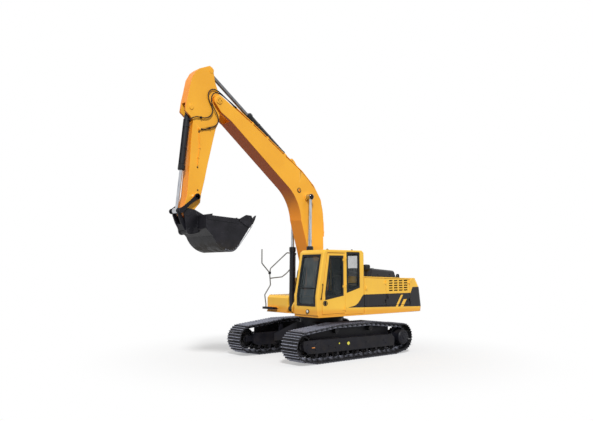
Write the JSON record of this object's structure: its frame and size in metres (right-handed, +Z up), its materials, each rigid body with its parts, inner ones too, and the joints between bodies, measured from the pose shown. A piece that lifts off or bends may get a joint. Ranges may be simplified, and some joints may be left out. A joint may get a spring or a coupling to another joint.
{
  "type": "crawler excavator",
  "caption": "Crawler excavator with two steel tracks, a turning house with an operator's cab and opening doors, and a hinged boom, stick and bucket worked by rams.",
  "frame": {"origin": "on the ground, on the axis that the house slews about", "axes": "+X forward, towards the bucket; +Y to the machine's left, the cab's side; +Z up"},
  "size_m": [7.627, 3.06, 7.476],
  "materials": {
    "house_paint": "satin",
    "arm_paint": "satin",
    "dark_paint": "satin",
    "hood_paint": "satin",
    "track_steel": "matte",
    "bucket_steel": "matte",
    "rod_chrome": "polished",
    "glass": "clear",
    "seat_fabric": "matte",
    "black_plastic": "matte",
    "engine_iron": "matte",
    "core": "matte",
    "hose_rubber": "matte"
  },
  "bodies": {
    "undercarriage": {"track_left": "track_steel", "track_right": "track_steel", "track_frame_left": "dark_paint", "track_frame_right": "dark_paint", "travel_drive_left": "dark_paint", "travel_drive_right": "dark_paint", "idler_left": "track_steel", "idler_right": "track_steel", "rollers_left": "track_steel", "rollers_right": "track_steel", "centre_frame": "dark_paint", "tow_eye": "dark_paint", "slew_bearing": "dark_paint"},
    "house": {"revolving_frame": "house_paint", "cab_shell": "house_paint", "cab_windows": "glass", "operator_seat": "seat_fabric", "cab_controls": "black_plastic", "house_cover": "house_paint", "engine_block": "engine_iron", "radiator_pack": "core", "battery_box": "black_plastic", "air_precleaner": "black_plastic", "counterweight": "house_paint", "lifting_eye_left": "dark_paint", "lifting_eye_right": "dark_paint", "tool_box": "house_paint", "fuel_tank": "house_paint", "hydraulic_tank": "house_paint", "handrails": "black_plastic", "work_lamp": "black_plastic"},
    "cab_door": {"cab_door": "house_paint", "door_window": "glass"},
    "battery_door": {"battery_door": "house_paint"},
    "radiator_door": {"radiator_door": "house_paint"},
    "pump_door": {"pump_door": "house_paint"},
    "engine_hood": {"engine_hood": "hood_paint"},
    "boom": {"boom": "arm_paint", "boom_pipes": "arm_paint", "bucket_hose": "hose_rubber", "stick_hose": "hose_rubber", "stick_ram_hoses": "hose_rubber"},
    "stick": {"stick": "arm_paint"},
    "bucket": {"bucket": "bucket_steel"},
    "boom_ram_barrels": {"boom_ram_barrel_left": "dark_paint", "boom_ram_barrel_right": "dark_paint"},
    "boom_ram_rods": {"boom_ram_rod_left": "rod_chrome", "boom_ram_rod_right": "rod_chrome"},
    "stick_ram_barrel": {"stick_ram_barrel": "dark_paint"},
    "stick_ram_rod": {"stick_ram_rod": "rod_chrome"},
    "bucket_ram_barrel": {"bucket_ram_barrel": "dark_paint"},
    "bucket_ram_rod": {"bucket_ram_rod": "rod_chrome"},
    "bucket_levers": {"bucket_levers": "dark_paint"},
    "bucket_link": {"bucket_link": "dark_paint"}
  },
  "joints": [
    {"name": "slew", "type": "hinge", "parent": "undercarriage", "child": "house", "pos_m": [0, 0, 1.09], "axis": [0, 0, 1], "continuous": true},
    {"name": "cab_door_hinge", "type": "hinge", "parent": "house", "child": "cab_door", "pos_m": [0.458, 1.425, 1.9], "axis": [0, 0, 1], "range_deg": [0, 165]},
    {"name": "battery_door_hinge", "type": "hinge", "parent": "house", "child": "battery_door", "pos_m": [-1.179, 1.42, 1.7], "axis": [0, 0, 1], "range_deg": [0, 120]},
    {"name": "radiator_door_hinge", "type": "hinge", "parent": "house", "child": "radiator_door", "pos_m": [-2.222, 1.425, 1.7], "axis": [0, 0, 1], "range_deg": [0, 120]},
    {"name": "pump_door_hinge", "type": "hinge", "parent": "house", "child": "pump_door", "pos_m": [-2.222, -1.425, 1.7], "axis": [0, 0, -1], "range_deg": [0, 120]},
    {"name": "engine_hood_hinge", "type": "hinge", "parent": "house", "child": "engine_hood", "pos_m": [-2.244, 0, 2.133], "axis": [0, -1, 0], "range_deg": [0, 60]},
    {"name": "boom_raise", "type": "hinge", "parent": "house", "child": "boom", "pos_m": [0.3, 0, 2], "axis": [0, 1, 0], "range_deg": [-4, 99]},
    {"name": "stick_swing", "type": "hinge", "parent": "boom", "child": "stick", "pos_m": [3.7, 0, 6.608], "axis": [0, -1, 0], "range_deg": [-20, 115], "deforming": ["bucket_hose", "stick_hose"]},
    {"name": "bucket_curl", "type": "hinge", "parent": "stick", "child": "bucket", "pos_m": [4.53, 0, 3.728], "axis": [0, 1, 0], "range_deg": [-145, 6]},
    {"name": "boom_ram_swing", "type": "hinge", "parent": "house", "child": "boom_ram_barrels", "pos_m": [0.78, 0, 1.265], "axis": [0, 1, 0], "range_deg": [-5, 93]},
    {"name": "boom_ram_stroke", "type": "slide", "parent": "boom_ram_barrels", "child": "boom_ram_rods", "axis": [-0.0128, 0, 0.9999], "range_m": [-1.3, 0.06]},
    {"name": "stick_ram_swing", "type": "hinge", "parent": "boom", "child": "stick_ram_barrel", "pos_m": [1.2, 0, 5.35], "axis": [0, -1, 0], "range_deg": [-2, 3], "deforming": ["stick_ram_hoses"]},
    {"name": "stick_ram_stroke", "type": "slide", "parent": "stick_ram_barrel", "child": "stick_ram_rod", "axis": [0.8, 0, 0.6], "range_m": [-1.31, 0.24]},
    {"name": "lever_swing", "type": "hinge", "parent": "stick", "child": "bucket_levers", "pos_m": [4.298, 0, 4.125], "axis": [0, 1, 0], "range_deg": [-89, 6]},
    {"name": "link_swing", "type": "hinge", "parent": "bucket", "child": "bucket_link", "pos_m": [4.466, 0, 3.295], "axis": [0, 1, 0], "range_deg": [-6, 94]},
    {"name": "bucket_ram_swing", "type": "hinge", "parent": "stick", "child": "bucket_ram_barrel", "pos_m": [4.45, 0, 6.33], "axis": [0, 1, 0], "range_deg": [-6, 2]},
    {"name": "bucket_ram_stroke", "type": "slide", "parent": "bucket_ram_barrel", "child": "bucket_ram_rod", "axis": [0.1068, 0, -0.9943], "range_m": [-0.8, 0.05]}
  ],
  "couplings": [
    {"joint": "boom_ram_swing", "follows": "boom_raise", "ratio": 0.92},
    {"joint": "boom_ram_stroke", "follows": "boom_raise", "m_per_rad": -0.745},
    {"joint": "stick_ram_swing", "follows": "stick_swing", "ratio": 0.01},
    {"joint": "stick_ram_stroke", "follows": "stick_swing", "m_per_rad": -0.65},
    {"joint": "lever_swing", "follows": "bucket_curl", "ratio": 0.6},
    {"joint": "link_swing", "follows": "bucket_curl", "ratio": -0.64},
    {"joint": "bucket_ram_swing", "follows": "bucket_curl", "ratio": 0.03},
    {"joint": "bucket_ram_stroke", "follows": "bucket_curl", "m_per_rad": 0.304}
  ]
}
